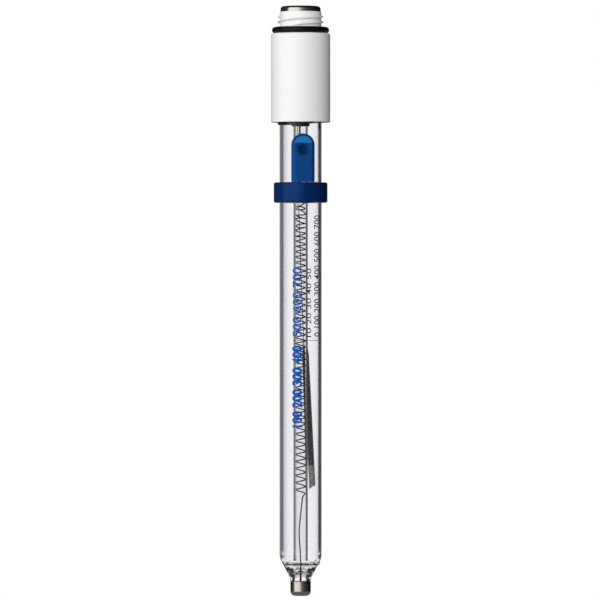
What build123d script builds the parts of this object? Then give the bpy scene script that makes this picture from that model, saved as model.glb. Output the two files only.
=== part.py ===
from build123d import *
from math import atan, cos, pi, radians, sin, sqrt, tan
import os

# Combined redox electrode with a glass shaft, a platinum tip and a refillable reference chamber.
# Millimetres, Z up. The origin is the centre of the tip's underside, on the shaft's axis.
# The refill hole and its flap face -Y.

# Clearances between pieces, and how far a cutting shape runs past what it cuts
seal_gap = 0.02
push_gap = 0.05
hinge_gap = 0.05
cut_past = 1.0

# Platinum tip: a drawn thimble
tip_r = 2.925
tip_height = 4.2
tip_wall = 0.25
tip_corner = 1.3

# Glass body: an outer shaft and an inner tube, melted together at the neck
shaft_r = 6.0
shaft_wall = 0.9
neck_length = 0.7
cone_height = 6.0
shoulder_round = 4.0
chamber_floor_drop = 2.0
chamber_round = 2.6
inner_tube_r = 2.05
inner_tube_wall = 0.515
inner_tube_foot_round = 0.4
bore_floor_rise = 2.1
bore_floor_round = 0.6
rim_round = 0.3

# Ceramic junction: a porous pin through the cone, just under the shoulder
junction_r = 0.65
junction_drop = 1.6
junction_proud = 0.3
junction_inside = 1.15
junction_edge = 0.13

# Blue closure: a stretched band with a hinged flap
immersion_length = 112.6
band_height = 5.8
band_wall = 1.65
band_edge_round = 0.5
window_height = 17.2
flap_to_head = 3.3
flap_width = 6.6
flap_thickness = 1.15
flap_stand_off = 0.3
flap_bevel_width = 1.1
flap_bevel_depth = 0.45
flap_ramp_length = 2.7
flap_ramp_depth = 0.6
flap_dimple_r = 1.75
flap_dimple_depth = 0.25
flap_dimple_taper = 30
refill_above_band = 9.3
refill_hole_r = 1.7
stud_clearance = 0.1
stud_taper = 0.25
stud_past_wall = 0.4

# White head: a skirt over the glass, a seat for the ring seal, and a stub for the plug's nut
head_height = 25.5
head_wall = 1.75
head_roof = 7.1
head_top_round = 0.5
head_foot_round = 0.2
resin_wall = 0.75
ring_seal_section_r = 0.9
ring_seal_inset = 0.3
seal_seat_height = 2.0
stub_height = 6.2
stub_r = 5.95
stub_wall = 1.7

# Electrical contacts in the stub
contact_height = 1.6
contact_step = 0.2
contact_wall = 0.6
contact_edge_round = 0.9
centre_contact_r = 1.0
centre_contact_recess = 0.7
centre_contact_length = 10.2
contact_foot_rise = 1.0
insulator_recess = 1.2
insulator_foot_rise = 1.2
solder_cup_r = 0.45
solder_cup_depth = 1.5

# Glass, stopper and sealant inside the head
resin_over_shaft = 4.0
inner_tube_past_shaft = 2.0
stopper_recess = 0.6
stopper_rim_depth = 0.9
stopper_nose_r = 2.6
stopper_nose_height = 1.7
bead_height = 1.6
bead_proud = 0.7
bead_inset = 0.2

# Leads. Places are read across and behind the axis as the front view shows them,
# and the front view is turned this many degrees from the flap's own direction.
view_turn = 6.5
coil_wire_r = 0.15
coil_sides = 5
coil_steps = 10
wire_bend_z = 18.5
wire_bend_across = -0.42
coil_foot_z = 29.3
coil_exit_drop = 0.8
coil_exit_across = 0.6
coil_exit_in_front = 0.3
coil_top_below_head = 22.4
coil_top_pitch = 1.4
coil_foot_pitch = 2.06
joint_above_coil = 2.0
joint_r = 0.45
joint_length = 3.0
joint_across = -0.42
joint_approach = 0.4
insulation_r = 0.28
reference_wire_r = 0.175
reference_angle = 110.6
reference_straight = 4.0
reference_entry = 1.5

# Reference cartridge: a drawn glass tube that leans in the chamber, its foot out at the shaft's
# wall and its neck in at the inner tube. Angles are read from above in the front view.
cartridge_r = 0.97
cartridge_wall = 0.18
cartridge_length = 42.5
cartridge_taper = 2.5
cartridge_neck_r = 0.62
cartridge_neck_length = 1.6
cartridge_foot_z = 30.6
cartridge_foot_gap = 0.32
cartridge_foot_angle = 23.2
cartridge_head_gap = 0.43
cartridge_head_angle = 67.9
cartridge_cut_angle = 28
wool_length = 6.7
lead_into_cartridge = 2.0


def place(across, behind, height):
    """A point given as the front view shows it, in the part's own frame."""
    turn = radians(-view_turn)
    return Vector(
        across * cos(turn) - behind * sin(turn),
        across * sin(turn) + behind * cos(turn),
        height,
    )


def place_round(distance, angle, height):
    """A point so far from the axis, at an angle read from above in the front view."""
    return place(distance * cos(radians(angle)), distance * sin(radians(angle)), height)


def front_plane(depth, height):
    """A plane that faces the back, upright at this depth, with its origin at this height."""
    return Plane(origin=(0, depth, height), x_dir=(1, 0, 0), z_dir=(0, 1, 0))


def rod(start, end, radius):
    """A straight round rod between two points."""
    with BuildPart() as straight:
        with BuildSketch(Plane(origin=start, z_dir=end - start)):
            Circle(radius)
        extrude(amount=(end - start).length)
    return straight.part


def wire(points, radius, sides):
    """A thin wire lofted through one polygon at each point, carried along without twist."""
    last = len(points) - 1
    side = Vector(0, 0, 1)
    with BuildPart() as strand:
        for k, point in enumerate(points):
            along = (points[min(k + 1, last)] - points[max(k - 1, 0)]).normalized()
            if abs(side.dot(along)) > 0.9:
                side = Vector(1, 0, 0)
            side = (side - along * side.dot(along)).normalized()
            with BuildSketch(Plane(origin=point, x_dir=side, z_dir=along)):
                RegularPolygon(radius, sides)
        loft(ruled=True)
    return strand.part


# Radii that follow from the sizes above
shaft_bore_r = shaft_r - shaft_wall
inner_bore_r = inner_tube_r - inner_tube_wall
neck_plug_r = tip_r - tip_wall - seal_gap
skirt_bore_r = shaft_r + resin_wall
head_r = skirt_bore_r + head_wall
ring_seal_r = head_r - ring_seal_inset - ring_seal_section_r
seal_seat_r = ring_seal_r - ring_seal_section_r - push_gap
stub_bore_r = stub_r - stub_wall
contact_r = stub_r - contact_step
contact_sleeve_r = stub_bore_r - push_gap
contact_bore_r = contact_sleeve_r - contact_wall
band_bore_r = shaft_r + push_gap
band_r = band_bore_r + band_wall

# Heights that follow from the sizes above
cone_foot_z = tip_height + neck_length
shoulder_z = cone_foot_z + cone_height
chamber_floor_z = shoulder_z - chamber_floor_drop
bore_floor_z = tip_height + bore_floor_rise
band_top_z = immersion_length + band_height
refill_z = band_top_z + refill_above_band
head_z = band_top_z + window_height
head_top_z = head_z + head_height
skirt_roof_z = head_top_z - head_roof
stub_top_z = head_top_z + stub_height
contact_top_z = stub_top_z + contact_height
centre_top_z = contact_top_z - centre_contact_recess
centre_foot_z = centre_top_z - centre_contact_length
contact_foot_z = centre_foot_z + contact_foot_rise
insulator_foot_z = contact_foot_z + insulator_foot_rise
insulator_top_z = contact_top_z - insulator_recess
shaft_top_z = skirt_roof_z - resin_over_shaft
inner_tube_top_z = shaft_top_z + inner_tube_past_shaft
coil_top_z = head_z - coil_top_below_head
joint_z = coil_top_z + joint_above_coil

# Platinum tip
with BuildPart() as platinum_tip:
    with BuildSketch(Plane.XZ) as tip_section:
        Polygon((0, 0), (tip_r, 0), (tip_r, tip_height), (0, tip_height), align=None)
        fillet(tip_section.vertices().sort_by_distance((tip_r, 0, 0))[0], tip_corner)
    revolve(axis=Axis.Z)
    with BuildSketch(Plane.XZ) as tip_hollow:
        Polygon(
            (0, tip_wall),
            (tip_r - tip_wall, tip_wall),
            (tip_r - tip_wall, tip_height),
            (0, tip_height),
            align=None,
        )
        corner = tip_hollow.vertices().sort_by_distance((tip_r - tip_wall, tip_wall, 0))[0]
        fillet(corner, tip_corner - tip_wall)
    revolve(axis=Axis.Z, mode=Mode.SUBTRACT)

# Glass body: one section turned about the axis. Its outline runs up the outside of the shaft,
# over the rim, down the chamber, up the inner tube and down its bore to the neck.
wire_hole_r = coil_wire_r + seal_gap
with BuildPart() as glass_body:
    with BuildSketch(Plane.XZ) as glass_section:
        Polygon(
            (wire_hole_r, tip_wall + seal_gap),
            (neck_plug_r, tip_wall + seal_gap),
            (neck_plug_r, tip_height + seal_gap),
            (tip_r, tip_height + seal_gap),
            (tip_r, cone_foot_z),
            (shaft_r, shoulder_z),
            (shaft_r, shaft_top_z),
            (shaft_bore_r, shaft_top_z),
            (shaft_bore_r, chamber_floor_z),
            (inner_tube_r, chamber_floor_z),
            (inner_tube_r, inner_tube_top_z),
            (inner_bore_r, inner_tube_top_z),
            (inner_bore_r, bore_floor_z),
            (wire_hole_r, bore_floor_z),
            align=None,
        )
        rounds = [
            ((neck_plug_r, tip_wall + seal_gap), tip_corner - tip_wall - seal_gap),
            ((tip_r, cone_foot_z), neck_length),
            ((shaft_r, shoulder_z), shoulder_round),
            ((shaft_bore_r, chamber_floor_z), chamber_round),
            ((inner_tube_r, chamber_floor_z), inner_tube_foot_round),
            ((inner_bore_r, bore_floor_z), bore_floor_round),
        ]
        for (across, height), size in rounds:
            corner = glass_section.vertices().sort_by_distance((across, height, 0))[0]
            fillet(corner, size)
        for rim_r in (shaft_r, shaft_bore_r):
            corner = glass_section.vertices().sort_by_distance((rim_r, shaft_top_z, 0))[0]
            fillet(corner, rim_round)
    revolve(axis=Axis.Z)
    # Refill hole through the front wall
    refill_cut = shaft_r - sqrt(shaft_bore_r**2 - refill_hole_r**2)
    with BuildSketch(front_plane(-shaft_r - cut_past, refill_z)):
        Circle(refill_hole_r)
    extrude(amount=refill_cut + cut_past + push_gap, mode=Mode.SUBTRACT)
    # Hole for the junction, square to the cone
    cone_slope = (shaft_r - tip_r) / cone_height
    cone_point = Vector(shaft_r - junction_drop * cone_slope, 0, shoulder_z - junction_drop)
    junction_out = Vector(1, 0, -cone_slope).normalized()
    junction_face = cone_point + junction_out * junction_proud
    junction_length = junction_proud + junction_inside
    with BuildSketch(Plane(origin=junction_face, z_dir=-junction_out)):
        Circle(junction_r)
    extrude(amount=junction_length + shaft_wall, mode=Mode.SUBTRACT)

with BuildPart() as ceramic_junction:
    with BuildSketch(Plane(origin=junction_face, z_dir=-junction_out)):
        Circle(junction_r - seal_gap)
    extrude(amount=junction_length)
    chamfer(ceramic_junction.faces().sort_by(Axis.X)[-1].edges(), junction_edge)

# Blue band, stretched over the shaft
with BuildPart() as sleeve_band:
    with BuildSketch(Plane.XY.offset(immersion_length)):
        Circle(band_r)
        Circle(band_bore_r, mode=Mode.SUBTRACT)
    extrude(amount=band_height)
    rims = sleeve_band.edges().filter_by(GeomType.CIRCLE).sort_by(SortBy.LENGTH)[-2:]
    fillet(rims, band_edge_round)

# Flap: it hugs the shaft behind, is bevelled in front, and turns at its rounded root
flap_inner_r = shaft_r + flap_stand_off
flap_front_y = -flap_inner_r - flap_thickness
hinge_round = flap_thickness / 2
hinge_y = flap_front_y + hinge_round
flap_foot_z = band_top_z + hinge_gap
hinge_z = flap_foot_z + hinge_round
flap_top_z = head_z - flap_to_head
flap_height = flap_top_z - flap_foot_z
flap_round_z = flap_top_z - flap_width / 2
flap_back_y = -sqrt(flap_inner_r**2 - (flap_width / 2) ** 2)
with BuildPart() as refill_flap:
    # Outline seen from the front, with its round top
    with BuildSketch(Plane(origin=(0, flap_front_y, 0), x_dir=(1, 0, 0), z_dir=(0, -1, 0))):
        with BuildLine():
            Line((-flap_width / 2, flap_round_z), (-flap_width / 2, flap_foot_z))
            Line((-flap_width / 2, flap_foot_z), (flap_width / 2, flap_foot_z))
            Line((flap_width / 2, flap_foot_z), (flap_width / 2, flap_round_z))
            ThreePointArc(
                (flap_width / 2, flap_round_z),
                (0, flap_top_z),
                (-flap_width / 2, flap_round_z),
            )
        make_face()
    extrude(amount=flap_front_y - flap_back_y)
    # Hollow back that follows the shaft
    with BuildSketch(Plane.XY.offset(flap_foot_z - cut_past)):
        Circle(flap_inner_r)
    extrude(amount=flap_height + 2 * cut_past, mode=Mode.SUBTRACT)
    # Bevels along both long edges
    for side in (-1, 1):
        with BuildSketch(Plane.XY.offset(flap_foot_z - cut_past)):
            Polygon(
                (side * (flap_width / 2 - flap_bevel_width), flap_front_y),
                (side * flap_width / 2, flap_front_y + flap_bevel_depth),
                (side * flap_width, flap_front_y + flap_bevel_depth),
                (side * flap_width, flap_front_y - cut_past),
                (side * (flap_width / 2 - flap_bevel_width), flap_front_y - cut_past),
                align=None,
            )
        extrude(amount=flap_height + 2 * cut_past, mode=Mode.SUBTRACT)
    # Ramp at the fingertip end
    with BuildSketch(Plane.YZ.offset(-flap_width)):
        Polygon(
            (flap_front_y, flap_top_z - flap_ramp_length),
            (flap_front_y + flap_ramp_depth, flap_top_z),
            (flap_front_y + flap_ramp_depth, flap_top_z + cut_past),
            (flap_front_y - cut_past, flap_top_z + cut_past),
            (flap_front_y - cut_past, flap_top_z - flap_ramp_length),
            align=None,
        )
    extrude(amount=2 * flap_width, mode=Mode.SUBTRACT)
    # Root rounded about the hinge axis
    with BuildSketch(Plane.YZ.offset(-flap_width)):
        with BuildLine():
            Line((flap_front_y, hinge_z), (flap_front_y, flap_foot_z))
            Line((flap_front_y, flap_foot_z), (hinge_y, flap_foot_z))
            ThreePointArc(
                (hinge_y, flap_foot_z),
                (hinge_y - hinge_round * sin(pi / 4), hinge_z - hinge_round * sin(pi / 4)),
                (flap_front_y, hinge_z),
            )
        make_face()
    extrude(amount=2 * flap_width, mode=Mode.SUBTRACT)
    # Finger dimple in line with the stud
    with BuildSketch(front_plane(flap_front_y, refill_z)):
        Circle(flap_dimple_r)
    extrude(amount=flap_dimple_depth, taper=flap_dimple_taper, mode=Mode.SUBTRACT)
    # Tapered stud that stops the refill hole
    with BuildSketch(front_plane(hinge_y, refill_z)):
        Circle(refill_hole_r - stud_clearance)
    with BuildSketch(front_plane(-shaft_bore_r + stud_past_wall, refill_z)):
        Circle(refill_hole_r - stud_clearance - stud_taper)
    loft()

# White head
with BuildPart() as sensor_head:
    with BuildSketch(Plane.XZ):
        Polygon(
            (skirt_bore_r, head_z),
            (head_r, head_z),
            (head_r, head_top_z),
            (seal_seat_r, head_top_z),
            (seal_seat_r, head_top_z + seal_seat_height),
            (stub_r, head_top_z + seal_seat_height),
            (stub_r, stub_top_z),
            (stub_bore_r, stub_top_z),
            (stub_bore_r, skirt_roof_z),
            (skirt_bore_r, skirt_roof_z),
            align=None,
        )
    revolve(axis=Axis.Z)
    rims = sensor_head.edges().filter_by(GeomType.CIRCLE).group_by(SortBy.LENGTH)[-1]
    fillet(rims.sort_by(Axis.Z)[0], head_foot_round)
    rims = sensor_head.edges().filter_by(GeomType.CIRCLE).sort_by_distance((head_r, 0, head_top_z))
    fillet(rims[0], head_top_round)

with BuildPart() as ring_seal:
    with BuildSketch(Plane.XZ):
        with Locations((ring_seal_r, head_top_z + ring_seal_section_r + seal_gap)):
            Circle(ring_seal_section_r)
    revolve(axis=Axis.Z)

# Outer contact: a flanged metal ring whose sleeve goes down into the stub
with BuildPart() as contact_ring:
    with BuildSketch(Plane.XZ):
        Polygon(
            (contact_bore_r, contact_foot_z),
            (contact_sleeve_r, contact_foot_z),
            (contact_sleeve_r, stub_top_z),
            (contact_r, stub_top_z),
            (contact_r, contact_top_z),
            (contact_bore_r, contact_top_z),
            align=None,
        )
    revolve(axis=Axis.Z)
    rim = contact_ring.edges().filter_by(GeomType.CIRCLE).group_by(Axis.Z)[-1]
    fillet(rim.sort_by(SortBy.LENGTH)[-1], contact_edge_round)

with BuildPart() as contact_insulator:
    with BuildSketch(Plane.XY.offset(insulator_foot_z)):
        Circle(contact_bore_r - push_gap)
        Circle(centre_contact_r + push_gap, mode=Mode.SUBTRACT)
    extrude(amount=insulator_top_z - insulator_foot_z)

with BuildPart() as centre_contact:
    with BuildSketch(Plane.XY.offset(centre_foot_z)):
        Circle(centre_contact_r)
    extrude(amount=centre_contact_length)
    fillet(centre_contact.edges().group_by(Axis.Z)[-1], centre_contact_r / 2)
    with BuildSketch(Plane.XY.offset(centre_foot_z)):
        Circle(solder_cup_r)
    extrude(amount=solder_cup_depth, mode=Mode.SUBTRACT)

# Stopper that centres the inner tube in the mouth of the shaft
stopper_z = head_z + stopper_recess
nose_z = stopper_z - stopper_nose_height
reference_circle_r = (contact_bore_r + contact_sleeve_r) / 2
reference_top = place_round(reference_circle_r, reference_angle, contact_foot_z)
reference_straight_foot = place_round(
    reference_circle_r, reference_angle, nose_z - reference_straight
)
with BuildPart() as tube_stopper:
    with BuildSketch(Plane.XZ):
        Polygon(
            (inner_tube_r + seal_gap, nose_z),
            (stopper_nose_r, nose_z),
            (stopper_nose_r, stopper_z),
            (shaft_bore_r - seal_gap, stopper_z),
            (shaft_bore_r - seal_gap, shaft_top_z - stopper_rim_depth),
            (inner_tube_r + seal_gap, shaft_top_z - stopper_rim_depth),
            align=None,
        )
    revolve(axis=Axis.Z)
    reference_hole = rod(reference_straight_foot, reference_top, reference_wire_r + push_gap)
    add(reference_hole, mode=Mode.SUBTRACT)

# Black sealant squeezed out between the skirt and the glass. It stands proud on one side.
bead_foot_z = head_z - bead_proud
with BuildPart() as seal_bead:
    with BuildSketch(Plane.XY.offset(bead_foot_z)):
        Circle(skirt_bore_r - bead_inset)
        Circle(shaft_r + push_gap, mode=Mode.SUBTRACT)
    extrude(amount=bead_height)
    low_side = place(-1, 0, 0)
    slope = atan(bead_proud / (2 * shaft_r))
    bead_cut = Plane(
        origin=low_side * shaft_r + Vector(0, 0, bead_foot_z),
        z_dir=low_side * sin(slope) + Vector(0, 0, cos(slope)),
    )
    split(bisect_by=bead_cut, keep=Keep.TOP)

# Casting resin round the tubes and the leads
potting_foot_z = bead_foot_z + bead_height + seal_gap
potting_top_z = centre_foot_z - seal_gap
lead_top = Vector(0, 0, centre_foot_z + solder_cup_depth - seal_gap)
lead_foot = place(joint_across, 0, joint_z + joint_length)
with BuildPart() as head_potting:
    with BuildSketch(Plane.XZ):
        Polygon(
            (0, inner_tube_top_z + seal_gap),
            (inner_tube_r + seal_gap, inner_tube_top_z + seal_gap),
            (inner_tube_r + seal_gap, shaft_top_z + seal_gap),
            (shaft_r + seal_gap, shaft_top_z + seal_gap),
            (shaft_r + seal_gap, potting_foot_z),
            (skirt_bore_r - seal_gap, potting_foot_z),
            (skirt_bore_r - seal_gap, skirt_roof_z - seal_gap),
            (stub_bore_r - seal_gap, skirt_roof_z - seal_gap),
            (stub_bore_r - seal_gap, potting_top_z),
            (0, potting_top_z),
            align=None,
        )
    revolve(axis=Axis.Z)
    add(rod(lead_foot, lead_top, insulation_r + push_gap), mode=Mode.SUBTRACT)
    add(reference_hole, mode=Mode.SUBTRACT)

# Insulated lead and its joint to the coiled wire
insulated_lead = rod(lead_foot, lead_top, insulation_r)
lead_joint = rod(place(joint_across, 0, joint_z), lead_foot - Vector(0, 0, seal_gap), joint_r)

# Coiled wire: an open right-hand coil whose pitch grows towards its foot under its own weight,
# then a straight end down through the neck to the platinum
coil_r = inner_bore_r - push_gap - coil_wire_r
coil_height = coil_top_z - coil_foot_z
coil_turns = 2 * coil_height / (coil_top_pitch + coil_foot_pitch)


def coil_point(turns_up):
    """A point on the coil, so many turns above its foot."""
    angle = 2 * pi * turns_up
    pitch_loss = (coil_foot_pitch - coil_top_pitch) * turns_up**2 / (2 * coil_turns)
    height = coil_foot_z + coil_foot_pitch * turns_up - pitch_loss
    return place(coil_r * cos(angle), coil_r * sin(angle), height)


wire_foot = place(0, 0, tip_wall + seal_gap)
wire_out_of_neck = place(0, 0, bore_floor_z)
wire_bend = place(wire_bend_across, 0, wire_bend_z)
wire_out_of_coil = place(coil_exit_across, -coil_exit_in_front, coil_foot_z - coil_exit_drop)
coil = [coil_point(k / coil_steps) for k in range(int(coil_turns * coil_steps) + 1)]
top_end = [
    place(joint_across / 2, joint_approach, coil_top_z + joint_above_coil / 2),
    place(joint_across, 0, joint_z - coil_wire_r),
    place(joint_across, 0, joint_z),
]
wire_route = [wire_foot, wire_out_of_neck, wire_bend, wire_out_of_coil] + coil + top_end
coiled_wire = wire(wire_route, coil_wire_r, coil_sides)

# Reference cartridge, built on a plane that holds its leaning axis
cartridge_foot = place_round(
    shaft_bore_r - cartridge_r - cartridge_foot_gap, cartridge_foot_angle, cartridge_foot_z
)
cartridge_lean = (
    place_round(
        inner_tube_r + cartridge_r + cartridge_head_gap, cartridge_head_angle, cartridge_foot_z
    )
    - cartridge_foot
)
cartridge_rise = sqrt(cartridge_length**2 - cartridge_lean.length**2)
cartridge_up = (cartridge_lean + Vector(0, 0, cartridge_rise)).normalized()
cartridge_side = place(1, 0, 0)
cartridge_side = (cartridge_side - cartridge_up * cartridge_side.dot(cartridge_up)).normalized()
cartridge_plane = Plane(
    origin=cartridge_foot, x_dir=cartridge_side, z_dir=cartridge_side.cross(cartridge_up)
)
cartridge_axis = Axis(cartridge_foot, cartridge_up)
cut_angle = radians(cartridge_cut_angle)
foot_cut = Plane(
    origin=cartridge_foot + cartridge_up * (cartridge_r * tan(cut_angle)),
    z_dir=cartridge_up * cos(cut_angle) - cartridge_side * sin(cut_angle),
)
cartridge_bore_r = cartridge_r - cartridge_wall
cartridge_neck_bore_r = cartridge_neck_r - cartridge_wall
taper_top = cartridge_length - cartridge_neck_length
taper_foot = taper_top - cartridge_taper
fill_top = cartridge_length - lead_into_cartridge
with BuildPart() as cartridge_tube:
    with BuildSketch(cartridge_plane):
        Polygon(
            (cartridge_bore_r, 0),
            (cartridge_r, 0),
            (cartridge_r, taper_foot),
            (cartridge_neck_r, taper_top),
            (cartridge_neck_r, cartridge_length),
            (cartridge_neck_bore_r, cartridge_length),
            (cartridge_neck_bore_r, taper_top),
            (cartridge_bore_r, taper_foot),
            align=None,
        )
    revolve(axis=cartridge_axis)
    split(bisect_by=foot_cut, keep=Keep.TOP)

with BuildPart() as cartridge_plug:
    with BuildSketch(cartridge_plane):
        Polygon(
            (0, 0),
            (cartridge_bore_r - seal_gap, 0),
            (cartridge_bore_r - seal_gap, wool_length),
            (0, wool_length),
            align=None,
        )
    revolve(axis=cartridge_axis)
    split(bisect_by=foot_cut, keep=Keep.TOP)

with BuildPart() as silver_chloride_fill:
    with BuildSketch(cartridge_plane):
        Polygon(
            (0, wool_length + seal_gap),
            (cartridge_bore_r - seal_gap, wool_length + seal_gap),
            (cartridge_bore_r - seal_gap, taper_foot - seal_gap),
            (cartridge_neck_bore_r - seal_gap, taper_top - seal_gap),
            (cartridge_neck_bore_r - seal_gap, fill_top),
            (0, fill_top),
            align=None,
        )
    revolve(axis=cartridge_axis)

# Reference lead: from the contact ring down behind the inner tube to the cartridge. Between the
# stopper and the cartridge it runs half way between the two glass walls, through these angles
# and heights.
chamber_mid_r = (inner_tube_r + shaft_bore_r) / 2
lead_angles_and_heights = [(109.6, 112.4), (101.5, 110.2), (92.4, 99.5), (82.0, 85.5)]
lead_entry = cartridge_foot + cartridge_up * (cartridge_length + reference_entry)
lead_end = cartridge_foot + cartridge_up * (fill_top + seal_gap)
reference_route = [reference_top, reference_straight_foot]
for angle, height in lead_angles_and_heights:
    reference_route.append(place_round(chamber_mid_r, angle, height))
reference_route.extend([lead_entry, lead_end])


def bend_radii(route):
    """The largest arc that each corner's runs leave room for."""
    radii = []
    for k in range(1, len(route) - 1):
        run_in = route[k] - route[k - 1]
        run_out = route[k + 1] - route[k]
        half_turn = radians(run_in.get_angle(run_out)) / 2
        radii.append(0.45 * min(run_in.length, run_out.length) / tan(half_turn))
    return radii


reference_bends = bend_radii(reference_route)
print("reference lead's bend radii:", [round(radius, 1) for radius in reference_bends])
with BuildPart() as reference_lead:
    with BuildLine() as route_line:
        FilletPolyline(*reference_route, radius=reference_bends)
    with BuildSketch(Plane(origin=reference_top, z_dir=(0, 0, -1))):
        Circle(reference_wire_r)
    sweep(path=route_line.line)

os.makedirs("parts", exist_ok=True)
pieces = {
    "platinum_tip": platinum_tip.part,
    "glass_body": glass_body.part,
    "ceramic_junction": ceramic_junction.part,
    "sleeve_band": sleeve_band.part,
    "refill_flap": refill_flap.part,
    "sensor_head": sensor_head.part,
    "ring_seal": ring_seal.part,
    "contact_ring": contact_ring.part,
    "contact_insulator": contact_insulator.part,
    "centre_contact": centre_contact.part,
    "tube_stopper": tube_stopper.part,
    "seal_bead": seal_bead.part,
    "head_potting": head_potting.part,
    "insulated_lead": insulated_lead,
    "lead_joint": lead_joint,
    "coiled_wire": coiled_wire,
    "cartridge_tube": cartridge_tube.part,
    "cartridge_plug": cartridge_plug.part,
    "silver_chloride_fill": silver_chloride_fill.part,
    "reference_lead": reference_lead.part,
}
for name, piece in pieces.items():
    piece.label = name
    export_step(piece, f"parts/{name}.step")
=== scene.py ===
import math

import bmesh
import bpy
import numpy as np
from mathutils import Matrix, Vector


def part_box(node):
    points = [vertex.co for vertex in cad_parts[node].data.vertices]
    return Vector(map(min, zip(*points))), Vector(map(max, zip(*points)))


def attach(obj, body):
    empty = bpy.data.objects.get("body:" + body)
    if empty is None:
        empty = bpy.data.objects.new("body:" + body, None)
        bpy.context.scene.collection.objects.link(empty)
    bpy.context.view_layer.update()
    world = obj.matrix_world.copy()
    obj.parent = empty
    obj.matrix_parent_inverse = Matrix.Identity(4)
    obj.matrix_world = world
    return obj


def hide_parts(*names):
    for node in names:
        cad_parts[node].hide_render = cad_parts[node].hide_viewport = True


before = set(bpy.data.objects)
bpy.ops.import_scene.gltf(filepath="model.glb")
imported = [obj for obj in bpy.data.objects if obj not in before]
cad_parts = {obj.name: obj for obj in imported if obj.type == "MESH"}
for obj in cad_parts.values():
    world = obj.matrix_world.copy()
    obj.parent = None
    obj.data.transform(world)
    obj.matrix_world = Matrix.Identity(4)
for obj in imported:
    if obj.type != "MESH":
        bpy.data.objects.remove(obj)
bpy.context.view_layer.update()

# Metres. Sizes written in millimetres are multiplied by mm.
mm = 0.001
SHAFT = "shaft_and_head"
FLAP = "flap"

# The photograph: its scale, the object's axis in it and the direction that it is taken from
photo_px = 600
px_per_mm = 3.49
axis_px = 300.6
foot_px = 595.7
view_turn = math.radians(6.5)
camera_distance = 1.7
across_dir = np.array([math.cos(view_turn), -math.sin(view_turn), 0.0])
behind_dir = np.array([math.sin(view_turn), math.cos(view_turn), 0.0])

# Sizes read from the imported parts
tip_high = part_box("platinum_tip")[1]
glass_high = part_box("glass_body")[1]
flap_low, flap_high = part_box("refill_flap")
head_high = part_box("sensor_head")[1]
ring_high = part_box("ring_seal")[1]
tip_r = tip_high.x
tip_top = tip_high.z
shaft_r = glass_high.x
glass_top = glass_high.z

# Glass walls
shaft_wall = 0.9 * mm
shaft_bore_r = shaft_r - shaft_wall
inner_tube_r = 2.05 * mm
inner_bore_r = 1.535 * mm
rim_drop = 2.0 * mm
refill_z = 127.7 * mm
refill_hole_r = 1.7 * mm


def place(across, behind, height):
    """Points given as the front view shows them, moved into the part's frame: across times the
    view's right-hand direction plus behind times the direction away from it."""
    across, behind, height = np.broadcast_arrays(
        np.asarray(across, float), np.asarray(behind, float), np.asarray(height, float)
    )
    points = across[..., None] * across_dir + behind[..., None] * behind_dir
    points[..., 2] = height
    return points


# Mesh makers


def mesh_piece(name, points, faces):
    """An object from an array of points and an array of faces with a fixed number of corners."""
    mesh = bpy.data.meshes.new(name)
    corners = faces.shape[1]
    mesh.vertices.add(len(points))
    mesh.vertices.foreach_set("co", np.asarray(points, np.float32).ravel())
    mesh.loops.add(faces.size)
    mesh.loops.foreach_set("vertex_index", faces.astype(np.int32).ravel())
    mesh.polygons.add(len(faces))
    mesh.polygons.foreach_set("loop_start", np.arange(0, faces.size, corners, dtype=np.int32))
    mesh.update(calc_edges=True)
    piece = bpy.data.objects.new(name, mesh)
    bpy.context.scene.collection.objects.link(piece)
    return piece


def grid_faces(rows, columns, close_rows=False, close_columns=False):
    """Quads between the neighbours of a grid of points, closed round either way if asked."""
    i = np.arange(rows if close_rows else rows - 1)[:, None]
    j = np.arange(columns if close_columns else columns - 1)[None, :]
    below, beside = (i + 1) % rows, (j + 1) % columns
    quads = [i * columns + j, i * columns + beside, below * columns + beside, below * columns + j]
    return np.stack([q + 0 * i + 0 * j for q in quads], axis=-1).reshape(-1, 4)


def clean_mesh(piece, merge=1e-7):
    """Merge points that lie together, drop faces with no area, and turn all faces outwards."""
    edit = bmesh.new()
    edit.from_mesh(piece.data)
    bmesh.ops.remove_doubles(edit, verts=edit.verts, dist=merge)
    bmesh.ops.dissolve_degenerate(edit, edges=edit.edges, dist=merge)
    bmesh.ops.recalc_face_normals(edit, faces=edit.faces)
    edit.to_mesh(piece.data)
    edit.free()
    piece.data.shade_smooth()


def finish_piece(piece, body, material, sharp=None):
    """Give a piece its material and body, and mark edges sharper than the given angle."""
    piece.data.materials.clear()
    piece.data.materials.append(material)
    if sharp is not None:
        piece.data.set_sharp_from_angle(angle=math.radians(sharp))
    if body is not None:
        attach(piece, body)
    return piece


def turned(name, profile, steps, closed=False):
    """A profile of radius and height turned about the axis: each point is radius times the
    cosine and sine of the turn, at its own height."""
    profile = np.asarray(profile, float)
    turn = np.linspace(0, 2 * np.pi, steps, endpoint=False)
    radius, height = profile[:, 0][:, None], profile[:, 1][:, None]
    points = np.stack(
        [radius * np.cos(turn), radius * np.sin(turn), height + 0 * turn], axis=-1
    ).reshape(-1, 3)
    faces = grid_faces(len(profile), steps, close_rows=closed, close_columns=True)
    piece = mesh_piece(name, points, faces)
    clean_mesh(piece)
    return piece


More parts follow.
